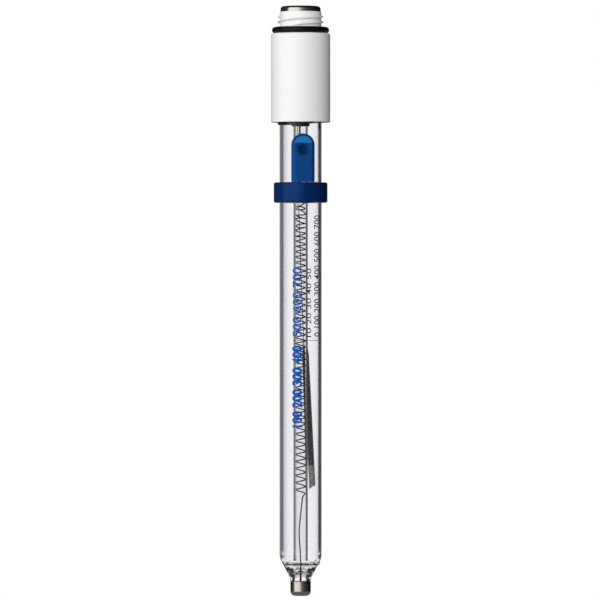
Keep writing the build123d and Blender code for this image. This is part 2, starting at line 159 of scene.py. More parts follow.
def round_corners(outline, radii, steps=8):
    """An open outline with its inner corners rounded: each corner becomes an arc that touches
    both its sides, drawn as the arc's centre plus the radius turned from one side to the next."""
    outline = [np.asarray(point, float) for point in outline]
    rounded = [outline[0][None, :]]
    for k in range(1, len(outline) - 1):
        here, radius = outline[k], radii[k]
        if radius == 0:
            rounded.append(here[None, :])
            continue
        back = outline[k - 1] - here
        ahead = outline[k + 1] - here
        back, ahead = back / np.linalg.norm(back), ahead / np.linalg.norm(ahead)
        half = math.acos(np.clip(back @ ahead, -1, 1)) / 2
        middle = (back + ahead) / np.linalg.norm(back + ahead)
        centre = here + middle * radius / math.sin(half)
        first = here + back * radius / math.tan(half) - centre
        last = here + ahead * radius / math.tan(half) - centre
        share = np.linspace(0, 1, steps)[:, None]
        sweep = math.acos(np.clip(first @ last / radius**2, -1, 1))
        spread = np.sin((1 - share) * sweep) * first + np.sin(share * sweep) * last
        rounded.append(centre + spread / math.sin(sweep))
    rounded.append(outline[-1][None, :])
    return np.concatenate(rounded)


def refine(outline, longest):
    """An outline with each of its runs cut into equal pieces no longer than the longest."""
    pieces = []
    for start, end in zip(outline[:-1], outline[1:]):
        count = max(1, int(np.ceil(np.linalg.norm(end - start) / longest)))
        pieces.append(start + (end - start) * np.arange(count)[:, None] / count)
    pieces.append(outline[-1:])
    return np.concatenate(pieces)


def tube(name, path, radius, sides, aside=(0.0, 0.64, 0.77)):
    """A round tube along a path: at each point a circle of the radius stands square to the
    path, on two directions made from the path's own direction and a fixed one aside of it.
    The radius is one number or one for each point. Both ends run to a point."""
    path = np.asarray(path, float)
    radius = np.broadcast_to(np.asarray(radius, float), len(path))
    along = np.gradient(path, axis=0)
    along /= np.linalg.norm(along, axis=1)[:, None]
    first = np.cross(along, np.asarray(aside, float))
    first /= np.linalg.norm(first, axis=1)[:, None]
    second = np.cross(along, first)
    turn = np.linspace(0, 2 * np.pi, sides, endpoint=False)
    ring = first[:, None, :] * np.cos(turn)[:, None] + second[:, None, :] * np.sin(turn)[:, None]
    points = path[:, None, :] + radius[:, None, None] * ring
    ends = [np.broadcast_to(path[k], (1, sides, 3)) for k in (0, -1)]
    points = np.concatenate([ends[0], points, ends[1]])
    piece = mesh_piece(name, points.reshape(-1, 3), grid_faces(len(points), sides, False, True))
    clean_mesh(piece)
    return piece


def smooth_line(points, count):
    """A smooth line through given points: a cubic through each pair, with each point's
    direction taken from its two neighbours."""
    points = np.asarray(points, float)
    slope = np.gradient(points, axis=0)
    share = np.linspace(0, len(points) - 1, count)
    k = np.clip(share.astype(int), 0, len(points) - 2)
    t = (share - k)[:, None]
    return (
        (2 * t**3 - 3 * t**2 + 1) * points[k]
        + (t**3 - 2 * t**2 + t) * slope[k]
        + (3 * t**2 - 2 * t**3) * points[k + 1]
        + (t**3 - t**2) * slope[k + 1]
    )


# Shared effects, each a node group that puts out colours, masks or heights only


def new_group(name, inputs, outputs):
    """An empty node group with named sockets, and its input and output nodes."""
    group = bpy.data.node_groups.new(name, "ShaderNodeTree")
    for label, kind, value in inputs:
        socket = group.interface.new_socket(name=label, in_out="INPUT", socket_type=kind)
        socket.default_value = value
    for label, kind in outputs:
        group.interface.new_socket(name=label, in_out="OUTPUT", socket_type=kind)
    return group, group.nodes.new("NodeGroupInput"), group.nodes.new("NodeGroupOutput")


def grain_group():
    """Fine grain on a moulded or drawn surface: roughness that varies a little and a height."""
    group, inside, out = new_group(
        "fine_grain",
        [
            ("Scale", "NodeSocketFloat", 800.0),
            ("Stretch", "NodeSocketVector", (1.0, 1.0, 1.0)),
            ("Roughness", "NodeSocketFloat", 0.4),
            ("Variation", "NodeSocketFloat", 0.1),
        ],
        [("Roughness", "NodeSocketFloat"), ("Height", "NodeSocketFloat")],
    )
    nodes, link = group.nodes, group.links.new
    where = nodes.new("ShaderNodeTexCoord")
    stretch = nodes.new("ShaderNodeVectorMath")
    stretch.operation = "MULTIPLY"
    noise = nodes.new("ShaderNodeTexNoise")
    noise.inputs["Detail"].default_value = 4.0
    spread = nodes.new("ShaderNodeMapRange")
    spread.inputs["To Min"].default_value = -1.0
    vary = nodes.new("ShaderNodeMath")
    vary.operation = "MULTIPLY_ADD"
    link(where.outputs["Object"], stretch.inputs[0])
    link(inside.outputs["Stretch"], stretch.inputs[1])
    link(stretch.outputs[0], noise.inputs["Vector"])
    link(inside.outputs["Scale"], noise.inputs["Scale"])
    link(noise.outputs[0], spread.inputs["Value"])
    link(spread.outputs[0], vary.inputs[0])
    link(inside.outputs["Variation"], vary.inputs[1])
    link(inside.outputs["Roughness"], vary.inputs[2])
    link(vary.outputs[0], out.inputs["Roughness"])
    link(noise.outputs[0], out.inputs["Height"])
    return group


def speckle_group():
    """Packed grains: round cells of two tones, lighter where a cell's random tone is high."""
    group, inside, out = new_group(
        "packed_grains",
        [
            ("Scale", "NodeSocketFloat", 4000.0),
            ("Dark", "NodeSocketColor", (0.02, 0.02, 0.02, 1)),
            ("Light", "NodeSocketColor", (0.2, 0.2, 0.2, 1)),
            ("Share", "NodeSocketFloat", 0.5),
        ],
        [("Color", "NodeSocketColor"), ("Height", "NodeSocketFloat")],
    )
    nodes, link = group.nodes, group.links.new
    where = nodes.new("ShaderNodeTexCoord")
    cells = nodes.new("ShaderNodeTexVoronoi")
    drift = nodes.new("ShaderNodeTexNoise")
    tone = nodes.new("ShaderNodeSeparateColor")
    lean = nodes.new("ShaderNodeMath")
    lean.operation = "MULTIPLY"
    step = nodes.new("ShaderNodeMapRange")
    step.inputs["From Min"].default_value = 0.1
    step.inputs["From Max"].default_value = 0.75
    mix = nodes.new("ShaderNodeMix")
    mix.data_type = "RGBA"
    share = nodes.new("ShaderNodeMath")
    share.operation = "MULTIPLY"
    slower = nodes.new("ShaderNodeMath")
    slower.operation = "MULTIPLY"
    slower.inputs[1].default_value = 0.3
    link(where.outputs["Object"], cells.inputs["Vector"])
    link(where.outputs["Object"], drift.inputs["Vector"])
    link(inside.outputs["Scale"], cells.inputs["Scale"])
    link(inside.outputs["Scale"], slower.inputs[0])
    link(slower.outputs[0], drift.inputs["Scale"])
    link(cells.outputs["Color"], tone.inputs[0])
    link(tone.outputs[0], lean.inputs[0])
    link(drift.outputs[0], lean.inputs[1])
    link(lean.outputs[0], step.inputs["Value"])
    link(step.outputs[0], share.inputs[0])
    link(inside.outputs["Share"], share.inputs[1])
    link(share.outputs[0], mix.inputs["Factor"])
    link(inside.outputs["Dark"], mix.inputs["A"])
    link(inside.outputs["Light"], mix.inputs["B"])
    link(mix.outputs["Result"], out.inputs["Color"])
    link(cells.outputs["Distance"], out.inputs["Height"])
    return group


fine_grain = grain_group()
packed_grains = speckle_group()


def new_material(name, color, **values):
    """A material with one Principled shader, whose plain values stand on its own sockets."""
    material = bpy.data.materials.new(name)
    material.use_nodes = True
    shader = material.node_tree.nodes["Principled BSDF"]
    shader.inputs["Base Color"].default_value = (*color, 1)
    for label, value in values.items():
        shader.inputs[label.replace("_", " ")].default_value = value
    return material


def add_grain(material, scale, roughness, variation, bump, stretch=(1, 1, 1)):
    """Fine grain on a material: it varies the roughness and lifts the surface a little."""
    nodes, link = material.node_tree.nodes, material.node_tree.links.new
    shader = nodes["Principled BSDF"]
    grain = nodes.new("ShaderNodeGroup")
    grain.node_tree = fine_grain
    grain.inputs["Scale"].default_value = scale
    grain.inputs["Stretch"].default_value = stretch
    grain.inputs["Roughness"].default_value = roughness
    grain.inputs["Variation"].default_value = variation
    lift = nodes.new("ShaderNodeBump")
    lift.inputs["Strength"].default_value = 0.4
    lift.inputs["Distance"].default_value = bump
    link(grain.outputs["Roughness"], shader.inputs["Roughness"])
    link(grain.outputs["Height"], lift.inputs["Height"])
    link(lift.outputs[0], shader.inputs["Normal"])
    return material


def add_speckle(material, scale, dark, light, share, bump):
    """Packed grains of two tones as a material's colour, with a bump for each grain."""
    nodes, link = material.node_tree.nodes, material.node_tree.links.new
    shader = nodes["Principled BSDF"]
    grains = nodes.new("ShaderNodeGroup")
    grains.node_tree = packed_grains
    grains.inputs["Scale"].default_value = scale
    grains.inputs["Dark"].default_value = (*dark, 1)
    grains.inputs["Light"].default_value = (*light, 1)
    grains.inputs["Share"].default_value = share
    lift = nodes.new("ShaderNodeBump")
    lift.inputs["Distance"].default_value = bump
    lift.invert = True
    link(grains.outputs["Color"], shader.inputs["Base Color"])
    link(grains.outputs["Height"], lift.inputs["Height"])
    link(lift.outputs[0], shader.inputs["Normal"])
    return material


def glass_material(name, tint):
    """Clear glass that bends what is behind it. Light from the lamps passes straight through,
    so that what the glass holds is lit."""
    material = new_material(name, tint, Roughness=0.0, IOR=1.47, Transmission_Weight=1.0)
    nodes, link = material.node_tree.nodes, material.node_tree.links.new
    path = nodes.new("ShaderNodeLightPath")
    clear = nodes.new("ShaderNodeBsdfTransparent")
    mix = nodes.new("ShaderNodeMixShader")
    link(path.outputs["Is Shadow Ray"], mix.inputs["Fac"])
    link(nodes["Principled BSDF"].outputs[0], mix.inputs[1])
    link(clear.outputs[0], mix.inputs[2])
    link(mix.outputs[0], nodes["Material Output"].inputs["Surface"])
    return material


shaft_glass = glass_material("blown_glass", (0.985, 0.985, 0.995))
cartridge_glass = glass_material("cartridge_glass", (0.95, 0.955, 0.96))
platinum = add_grain(
    new_material("drawn_platinum", (0.72, 0.70, 0.67), Metallic=1.0),
    2500, 0.16, 0.05, 0.002 * mm, (1, 1, 8),
)
plated_ring = add_grain(
    new_material("plated_contact", (0.74, 0.72, 0.69), Metallic=1.0),
    2000, 0.1, 0.05, 0.001 * mm, (1, 1, 8),
)
gold = add_grain(
    new_material("gold_plate", (0.9, 0.68, 0.33), Metallic=1.0), 2000, 0.22, 0.06, 0.001 * mm
)
# Painted shade: the coiled wire is platinum given a near-black colour, far darker than the tip's platinum,
# standing in for the shade on its backlit strands.
shaded_wire_metal = add_grain(
    new_material("platinum_wire", (0.07, 0.068, 0.065), Metallic=1.0),
    3000, 0.35, 0.1, 0.002 * mm, (1, 1, 0.2),
)
silver = add_grain(
    new_material("silver_wire", (0.1, 0.075, 0.055), Metallic=0.6),
    3000, 0.4, 0.1, 0.002 * mm, (1, 1, 0.2),
)
white_plastic = add_grain(
    new_material("white_plastic", (0.86, 0.86, 0.865)), 1800, 0.42, 0.08, 0.004 * mm
)
# Painted light: the flap's silicone is the band's silicone given a paler blue, standing in for backlight
# shining through the thinner flap.
backlit_flap_blue = (0.004, 0.045, 0.2)
silicone_finish = {"Specular_IOR_Level": 0.6, "Specular_Tint": (0.12, 0.5, 1.0, 1)}
blue_silicone = add_grain(
    new_material("blue_silicone", (0.0016, 0.017, 0.095), **silicone_finish), 1500, 0.3, 0.06, 0.004 * mm
)
flap_silicone = add_grain(
    new_material("flap_silicone", backlit_flap_blue, **silicone_finish), 1500, 0.34, 0.08, 0.004 * mm
)
black_rubber = add_grain(
    new_material("black_rubber", (0.004, 0.004, 0.004), Specular_IOR_Level=0.3),
    1500, 0.3, 0.1, 0.01 * mm,
)
sealant = add_grain(new_material("black_sealant", (0.008, 0.008, 0.008)), 900, 0.2, 0.1, 0.02 * mm)
resin = add_grain(new_material("casting_resin", (0.02, 0.02, 0.02)), 900, 0.3, 0.1, 0.01 * mm)
insulation = add_grain(new_material("black_insulation", (0.012, 0.012, 0.012)), 2500, 0.4, 0.1, 0.004 * mm)
solder = add_grain(
    new_material("solder", (0.5, 0.5, 0.49), Metallic=1.0), 2500, 0.4, 0.15, 0.01 * mm
)
bush_plastic = add_grain(new_material("bush_plastic", (0.75, 0.74, 0.71)), 2000, 0.4, 0.08, 0.004 * mm)
ceramic = add_speckle(
    new_material("porous_ceramic", (0.8, 0.78, 0.74), Roughness=0.8),
    9000, (0.3, 0.28, 0.24), (0.6, 0.58, 0.53), 1.0, 0.02 * mm,
)
wool = add_speckle(
    new_material("fibre_plug", (0.4, 0.41, 0.37), Roughness=0.9),
    6500, (0.13, 0.135, 0.115), (0.62, 0.63, 0.57), 1.0, 0.05 * mm,
)
fill = add_speckle(
    new_material("silver_chloride_grains", (0.05, 0.05, 0.05), Roughness=0.75),
    6000, (0.005, 0.005, 0.005), (0.17, 0.175, 0.165), 1.0, 0.05 * mm,
)
cement = add_grain(new_material("brown_cement", (0.05, 0.028, 0.012)), 2500, 0.5, 0.1, 0.004 * mm)
blue_ink = new_material("blue_enamel", (0.003, 0.08, 0.4), Roughness=0.5, Specular_IOR_Level=0.1)
navy_ink = new_material("navy_enamel", (0.015, 0.025, 0.1), Roughness=0.5, Specular_IOR_Level=0.1)


def dress_cad_nodes():
    """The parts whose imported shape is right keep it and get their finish."""
    finishes = {
        "platinum_tip": platinum,
        "ceramic_junction": ceramic,
        "sleeve_band": blue_silicone,
        "refill_flap": blue_silicone,
        "sensor_head": white_plastic,
        "ring_seal": black_rubber,
        "contact_ring": plated_ring,
        "contact_insulator": bush_plastic,
        "centre_contact": gold,
        "tube_stopper": black_rubber,
        "seal_bead": sealant,
        "head_potting": resin,
        "insulated_lead": insulation,
        "lead_joint": solder,
        "cartridge_tube": cartridge_glass,
        "cartridge_plug": wool,
        "silver_chloride_fill": fill,
        "reference_lead": silver,
    }
    for node, material in finishes.items():
        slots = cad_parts[node].data.materials
        slots.clear()
        slots.append(material)


# Glass body

glass_steps = 384
neck_z = tip_top + 0.02 * mm
cone_foot_z = tip_top + 0.7 * mm
shoulder_z = cone_foot_z + 6.0 * mm
floor_z = shoulder_z - 2.0 * mm
shaft_top = glass_top - rim_drop
swell_r = 1.76 * mm

# The window in the turned wall round the refill hole
window_heights = list(refill_z + np.linspace(-2.6, 2.6, 9) * mm)
window_low = window_heights[0] - 4.0 * mm
window_half = 28


def glass_profile():
    """The section of the glass from the wire's hole under the neck, round the outside, over the
    rim, down the chamber, up the inner tube and down its bore, as radius and height."""
    plug_r = tip_r - 0.27 * mm
    plug_z = 0.27 * mm
    hole_r = 0.17 * mm
    web_low, web_high = 7.8 * mm, 8.4 * mm
    bubble_floor = 6.85 * mm
    outline = [
        (hole_r, plug_z, 0),
        (plug_r, plug_z, 1.0),
        (plug_r, neck_z, 0),
        (tip_r, neck_z, 0),
        (tip_r, cone_foot_z, 3.2),
        (shaft_r, shoulder_z, 4),
        (shaft_r, window_low, 0),
        *[(shaft_r, height, 0) for height in window_heights],
        (shaft_r, shaft_top, 0.3),
        (shaft_bore_r, shaft_top, 0.3),
        *[(shaft_bore_r, height, 0) for height in window_heights[::-1]],
        (shaft_bore_r, window_low, 0),
        (shaft_bore_r, floor_z, 2.6),
        (inner_tube_r, floor_z, 0.4),
        (inner_tube_r, glass_top, 0.2),
        (inner_bore_r, glass_top, 0.2),
        (inner_bore_r, 10.6 * mm, 0.5),
        (swell_r, 10.0 * mm, 0.4),
        (swell_r, web_high, 0.75),
        (hole_r, web_high, 0),
        (hole_r, web_low, 0),
        (0.9 * mm, web_low - 0.05 * mm, 0.5),
        (swell_r - 0.05 * mm, web_low - 0.55 * mm, 0.25),
        (swell_r - 0.05 * mm, bubble_floor, 0.12),
        (hole_r, bubble_floor, 0),
    ]
    radii = [corner[2] * mm for corner in outline]
    return round_corners([corner[:2] for corner in outline], radii, 10)


def hole_patch(wall_r):
    """The wall round the refill hole, between the circle of the hole and the edge of the window
    left for it in the turned wall: straight lines from the circle to the edge, drawn in turn
    angle and height and laid on the wall's radius."""
    low, high = window_heights[0], window_heights[-1]
    turns = (np.arange(-window_half, window_half + 1) - glass_steps / 4) * 2 * np.pi / glass_steps
    rows = np.array(window_heights)
    edge = np.concatenate([
        np.stack([turns, 0 * turns + low], axis=-1)[:-1],
        np.stack([0 * rows + turns[-1], rows], axis=-1)[:-1],
        np.stack([turns[::-1], 0 * turns + high], axis=-1)[:-1],
        np.stack([0 * rows + turns[0], rows[::-1]], axis=-1)[:-1],
    ])
    round_it = np.arctan2(edge[:, 1] - refill_z, wall_r * (edge[:, 0] + np.pi / 2))
    across = refill_hole_r * np.cos(round_it)
    circle = np.stack(
        [np.arcsin(across / wall_r) - np.pi / 2, refill_z + refill_hole_r * np.sin(round_it)], axis=-1
    )
    share = np.linspace(0, 1, 5)[:, None, None]
    spots = circle + (edge - circle) * share
    return np.stack(
        [wall_r * np.cos(spots[..., 0]), wall_r * np.sin(spots[..., 0]), spots[..., 1]], axis=-1
    )


def glass_body():
    """The whole glass as one closed surface: a turned profile, with a window left in both sides
    of the shaft's wall that two patches and a rim close round the refill hole."""
    profile = refine(glass_profile(), 4.0 * mm)
    turn = np.arange(glass_steps) * 2 * np.pi / glass_steps
    radius, height = profile[:, 0][:, None], profile[:, 1][:, None]
    points = np.stack([radius * np.cos(turn), radius * np.sin(turn), height + 0 * turn], axis=-1)
    faces = grid_faces(len(profile), glass_steps, True, True)
    corner_z = points.reshape(-1, 3)[faces][..., 2].mean(1)
    corner_r = np.linalg.norm(points.reshape(-1, 3)[faces][..., :2], axis=2).mean(1)
    column = np.arange(len(faces)) % glass_steps
    from_hole = (column - (3 * glass_steps // 4 - window_half)) % glass_steps
    in_window = (corner_z > window_heights[0]) & (corner_z < window_heights[-1])
    in_window &= (from_hole < 2 * window_half) & (corner_r > shaft_bore_r - 0.1 * mm)
    outer = hole_patch(shaft_r)
    inner = hole_patch(shaft_bore_r)
    share = np.linspace(0, 1, 4)[:, None, None]
    rim = outer[0] + (inner[0] - outer[0]) * share
    grids = [outer, inner, rim]
    all_points, all_faces = [points.reshape(-1, 3)], [faces[~in_window]]
    for grid in grids:
        start = sum(len(part) for part in all_points)
        all_points.append(grid.reshape(-1, 3))
        all_faces.append(start + grid_faces(grid.shape[0], grid.shape[1], False, True))
    piece = mesh_piece("glass_body_blown", np.concatenate(all_points), np.concatenate(all_faces))
    clean_mesh(piece, merge=1e-6)
    finish_piece(piece, SHAFT, shaft_glass, sharp=50)
    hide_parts("glass_body")
    return piece


# Coiled wire

coil_foot_z = 29.3 * mm
coil_top_z = 113.2 * mm
coil_foot_pitch = 2.06 * mm
coil_top_pitch = 1.4 * mm
coil_wire_r = 0.19 * mm
coil_r = 1.335 * mm
coil_steps = 28


def coil_path():
    """The coil's turns: at so many turns up, the angle is that share of a full turn, and the
    height is the foot pitch times the turns less a part that grows with their square, so that
    the pitch shrinks evenly towards the top. Near the top the turns lie unevenly."""
    turns = 2 * (coil_top_z - coil_foot_z) / (coil_top_pitch + coil_foot_pitch)
    up = np.arange(0, turns, 1 / coil_steps)
    height = coil_foot_z + coil_foot_pitch * up
    height -= (coil_foot_pitch - coil_top_pitch) * up**2 / (2 * turns)
    unrest = np.clip((up / turns - 0.72) / 0.28, 0, 1) ** 1.5
    height += unrest * 0.75 * mm * np.sin(up * 5.3 + 0.8) * np.cos(up * 1.9)
    radius = coil_r * (1 - 0.06 * unrest * (1 + np.sin(up * 3.1)))
    angle = 2 * np.pi * up
    return place(radius * np.cos(angle), radius * np.sin(angle), height)


def coiled_wire():
    """The platinum wire: from the tip straight up through the neck, a soft bend, the coil, and
    a short rise to the joint with the lead."""
    coil = coil_path()
    straight = place(
        np.array([0, 0.0, 0.02, -0.1, -0.42, 0.0, 0.45, 0.66]) * mm,
        np.array([0, 0, 0, 0, 0, -0.1, -0.2, -0.25]) * mm,
        np.array([1.0, 4.5, 8.0, 12.5, 18.3, 23.0, 27.2, 28.5]) * mm,
    )
    low_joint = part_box("lead_joint")[0].z + 0.3 * mm
    top = place(
        np.array([0.3, -0.1, -0.42, -0.42]) * mm,
        np.array([0.7, 0.4, 0.1, 0.0]) * mm,
        np.array([coil_top_z + 0.5 * mm, coil_top_z + 1.1 * mm, low_joint - 0.3 * mm, low_joint]),
    )
    lower = smooth_line(np.concatenate([straight, coil[:1]]), 90)
    upper = smooth_line(np.concatenate([coil[-1:], top]), 24)
    path = np.concatenate([lower[:-1], coil, upper[1:]])
    piece = tube("coiled_wire_drawn", path, coil_wire_r, 10)
    finish_piece(piece, SHAFT, shaded_wire_metal)
    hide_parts("coiled_wire")


# Screw thread on the stub

thread_starts = 2
thread_spacing = 1.6 * mm
thread_turn = math.radians(50)


def plug_thread():
    """Two ridges wound round the stub: each is a rounded triangle whose centre climbs by one
    lead a turn. The ridge sinks into the stub at both ends."""
    stub_r = 5.95 * mm
    crest = 0.74 * mm
    half_width = 0.44 * mm
    foot, top = ring_high.z + 0.35 * mm, head_high.z - 1.15 * mm
    lead = thread_starts * thread_spacing
    turn = np.linspace(0, (top - foot) / lead * 2 * np.pi, 260)
    across = np.linspace(-1, 1, 13)
    fade = np.clip(np.minimum(turn, turn[-1] - turn) / 0.5, 0, 1)
    rise = crest * (1 - np.abs(across) ** 1.4) * fade[:, None] - 0.05 * mm
    for start in range(thread_starts):
        angle = turn + 2 * np.pi * start / thread_starts + thread_turn
        radius = stub_r + rise
        height = foot + lead * turn[:, None] / (2 * np.pi) + across * half_width
        points = np.stack(
            [radius * np.cos(angle)[:, None], radius * np.sin(angle)[:, None], height], axis=-1
        )
        back = points * np.array([0.96, 0.96, 1.0])
        section = np.concatenate([points, back[:, ::-1]], axis=1)
        ends = [np.broadcast_to(section[k].mean(0), (1, *section[k].shape)) for k in (0, -1)]
        section = np.concatenate([ends[0], section, ends[1]])
        rows, columns = section.shape[:2]
        piece = mesh_piece(
            f"plug_thread_{start + 1}", section.reshape(-1, 3), grid_faces(rows, columns, False, True)
        )
        clean_mesh(piece)
        finish_piece(piece, SHAFT, white_plastic, sharp=60)


# Refill flap

flap_half = flap_high.x
flap_round_z = flap_high.z - flap_half
flap_front_y = flap_low.y
flap_back_r = 6.3 * mm
ramp_z = 129.6 * mm


def smooth_step(value, start, end):
    """0 before start, 1 after end and a smooth rise between them."""
    share = np.clip((value - start) / (end - start), 0, 1)
    return share * share * (3 - 2 * share)


def flap_recess(x, z, inside):
    """How far the flap's front lies behind its flat: a rounded rim, a bevel inside it, a ramp
    at the top with a small step under it, and a bowl in front of the stud. Inside is the
    distance from the flap's outline."""
    rim = 0.25 * mm
    rim_share = np.clip(1 - inside / rim, 0, 1)
    recess = 0.3 * mm * (1 - np.sqrt(1 - rim_share**2)) + 0 * x
    recess += 0.6 * mm * np.clip(1 - inside / (0.95 * mm), 0, 1)
    recess += 0.55 * mm * np.clip((z - ramp_z) / (flap_high.z - ramp_z), 0, 1)
    under_ramp = np.clip(1 - (ramp_z - z) / (3.4 * mm), 0, 1) * (z < ramp_z)
    recess += 0.22 * mm * under_ramp * smooth_step(inside, 0.9 * mm, 1.4 * mm)
    from_stud = np.hypot(x, z - refill_z)
    recess += 0.22 * mm * (1 - smooth_step(from_stud, 0.5 * mm, 1.9 * mm))
    return recess


def flap_body():
    """The flap as lines laid inside its outline at growing distances: up the left side, round
    the top as a half circle about its centre, and down the right. The front lies behind its
    flat by the recess, and the back is a circle about the shaft's axis."""
    inside = np.concatenate([np.linspace(0, 1.1, 15), np.linspace(1.2, 3.3, 20)]) * mm
    inside = inside * flap_half / inside[-1]
    half = (flap_half - inside)[None, :]
    side = np.linspace(flap_low.z, flap_round_z, 90)[:, None]
    turn = np.linspace(np.pi, 0, 97)[1:-1][:, None]
    x = np.concatenate([-half + 0 * side, half * np.cos(turn), half + 0 * side])
    z = np.concatenate([side + 0 * half, flap_round_z + half * np.sin(turn), side[::-1] + 0 * half])
    front_y = flap_front_y + flap_recess(x, z, inside[None, :])
    back_y = -np.sqrt(flap_back_r**2 - x**2)
    front = np.stack([x, front_y, z], axis=-1)
    back = np.stack([x, back_y, z], axis=-1)
    rows, columns = x.shape
    count = rows * columns
    sheet = grid_faces(rows, columns)
    edge = np.arange(rows - 1) * columns
    side_faces = np.stack([edge, edge + columns, edge + columns + count, edge + count], axis=-1)
    step = np.arange(columns - 1)
    root = np.stack([step, step + 1, step + 1 + count, step + count], axis=-1)
    last = (rows - 1) * columns
    faces = np.concatenate([sheet, sheet + count, side_faces, root, root + last])
    piece = mesh_piece("refill_flap_moulded", np.concatenate([front, back]).reshape(-1, 3), faces)
    clean_mesh(piece)
    finish_piece(piece, FLAP, flap_silicone, sharp=38)
    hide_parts("refill_flap")


def flap_stud():
    """The stud on the flap's back: a profile turned about the hole's axis."""
    outline = [(0, -6.6), (1.6, -6.6), (1.58, -5.9), (1.3, -4.78), (0, -4.72)]
    radii = np.array([0, 0.05, 0.3, 0.25, 0]) * mm
    profile = round_corners([np.array(corner) * mm for corner in outline], radii)
    steps = 48
    turn = np.linspace(0, 2 * np.pi, steps, endpoint=False)
    radius, depth = profile[:, 0][:, None], profile[:, 1][:, None]
    points = np.stack(
        [radius * np.cos(turn), depth + 0 * turn, refill_z + radius * np.sin(turn)], axis=-1
    )
    piece = mesh_piece("refill_stud", points.reshape(-1, 3), grid_faces(len(profile), steps, False, True))
    clean_mesh(piece)
    finish_piece(piece, FLAP, flap_silicone, sharp=50)


def paint_flap_light_and_shade():
    """Painted shade and painted light on the flap's silicone: a darker blue over the solid stud stands in
    for the shade where the thick stud lets less backlight through, and a paler blue on the thin ramp
    stands in for the backlight shining through it.
    """
    nodes, link = flap_silicone.node_tree.nodes, flap_silicone.node_tree.links.new
    where = nodes.new("ShaderNodeTexCoord")
    flat = nodes.new("ShaderNodeVectorMath")
    flat.operation = "MULTIPLY"
    flat.inputs[1].default_value = (1, 0, 1)
    distance = nodes.new("ShaderNodeVectorMath")
    distance.operation = "DISTANCE"
    distance.inputs[1].default_value = (0, 0, refill_z)
    stud_shade_mask = nodes.new("ShaderNodeMapRange")
    stud_shade_mask.interpolation_type = "SMOOTHSTEP"
    stud_shade_mask.inputs["From Min"].default_value = 2.3 * mm
    stud_shade_mask.inputs["From Max"].default_value = 1.0 * mm
    split = nodes.new("ShaderNodeSeparateXYZ")
    ramp_light_mask = nodes.new("ShaderNodeMapRange")
    ramp_light_mask.inputs["From Min"].default_value = ramp_z - 0.1 * mm
    ramp_light_mask.inputs["From Max"].default_value = ramp_z + 0.1 * mm
    from_top = nodes.new("ShaderNodeVectorMath")
    from_top.operation = "DISTANCE"
    from_top.inputs[1].default_value = (0, 0, flap_round_z)
    within_rim = nodes.new("ShaderNodeMapRange")
    within_rim.inputs["From Min"].default_value = flap_half - 0.6 * mm
    within_rim.inputs["From Max"].default_value = flap_half - 0.85 * mm
    both = nodes.new("ShaderNodeMath")
    both.operation = "MULTIPLY"
    # Painted shade: the darker blue over the stud.
    dark = nodes.new("ShaderNodeMix")
    dark.data_type = "RGBA"
    dark.inputs["A"].default_value = (*backlit_flap_blue, 1)
    dark.inputs["B"].default_value = (0.0012, 0.01, 0.055, 1)
    # Painted light: the paler blue on the ramp.
    pale = nodes.new("ShaderNodeMix")
    pale.data_type = "RGBA"
    pale.inputs["B"].default_value = (0.013, 0.16, 0.46, 1)
    link(where.outputs["Object"], flat.inputs[0])
    link(flat.outputs[0], distance.inputs[0])
    link(distance.outputs["Value"], stud_shade_mask.inputs["Value"])
    link(where.outputs["Object"], split.inputs[0])
    link(split.outputs["Z"], ramp_light_mask.inputs["Value"])
    link(stud_shade_mask.outputs[0], dark.inputs["Factor"])
    link(dark.outputs["Result"], pale.inputs["A"])
    link(flat.outputs[0], from_top.inputs[0])
    link(from_top.outputs["Value"], within_rim.inputs["Value"])
    link(ramp_light_mask.outputs[0], both.inputs[0])
    link(within_rim.outputs[0], both.inputs[1])
    link(both.outputs[0], pale.inputs["Factor"])
    link(pale.outputs["Result"], nodes["Principled BSDF"].inputs["Base Color"])


# Marks printed on the glass: plain numbers and one dividing line

print_r = shaft_r + 0.004 * mm


def wrap_on_shaft(arc, height):
    """Points on the shaft's face: the arc is measured along the glass to the right of the
    object's axis as the front view shows it."""
    turn = arc / print_r
    return place(print_r * np.sin(turn), -print_r * np.cos(turn), height)


def printed_column(name, words, left_px, right_px, low_px, high_px, ink, bold):
    """Plain numbers that read upwards, wrapped on the glass between the given columns and rows
    of the photograph, as the marks on the real shaft are."""
    curve = bpy.data.curves.new(name, "FONT")
    curve.body = words
    curve.offset = bold
    curve.resolution_u = 5
    letters = bpy.data.objects.new(name, curve)
    bpy.context.scene.collection.objects.link(letters)
    view = bpy.context.evaluated_depsgraph_get()
    mesh = bpy.data.meshes.new_from_object(letters.evaluated_get(view))
    bpy.data.objects.remove(letters)
    edges = (np.array([left_px, right_px]) - axis_px) / px_per_mm * mm
    arcs = np.arcsin(edges / print_r) * print_r
    low, high = (foot_px - np.array([low_px, high_px])) / px_per_mm * mm
    edit = bmesh.new()
    edit.from_mesh(mesh)
    corners = np.array([point.co for point in edit.verts])
    bottom, top = corners.min(0), corners.max(0)
    for level in np.linspace(bottom[1], top[1], 7)[1:-1]:
        everything = edit.verts[:] + edit.edges[:] + edit.faces[:]
        bmesh.ops.bisect_plane(edit, geom=everything, plane_co=(0, level, 0), plane_no=(0, 1, 0))
    edit.to_mesh(mesh)
    edit.free()
    points = np.empty(len(mesh.vertices) * 3)
    mesh.vertices.foreach_get("co", points)
    share = (points.reshape(-1, 3) - bottom) / np.where(top > bottom, top - bottom, 1)
    wrapped = wrap_on_shaft(arcs[1] - share[:, 1] * (arcs[1] - arcs[0]), low + share[:, 0] * (high - low))
    mesh.vertices.foreach_set("co", wrapped.ravel())
    mesh.update()
    piece = bpy.data.objects.new(name, mesh)
    bpy.context.scene.collection.objects.link(piece)
    finish_piece(piece, SHAFT, ink)


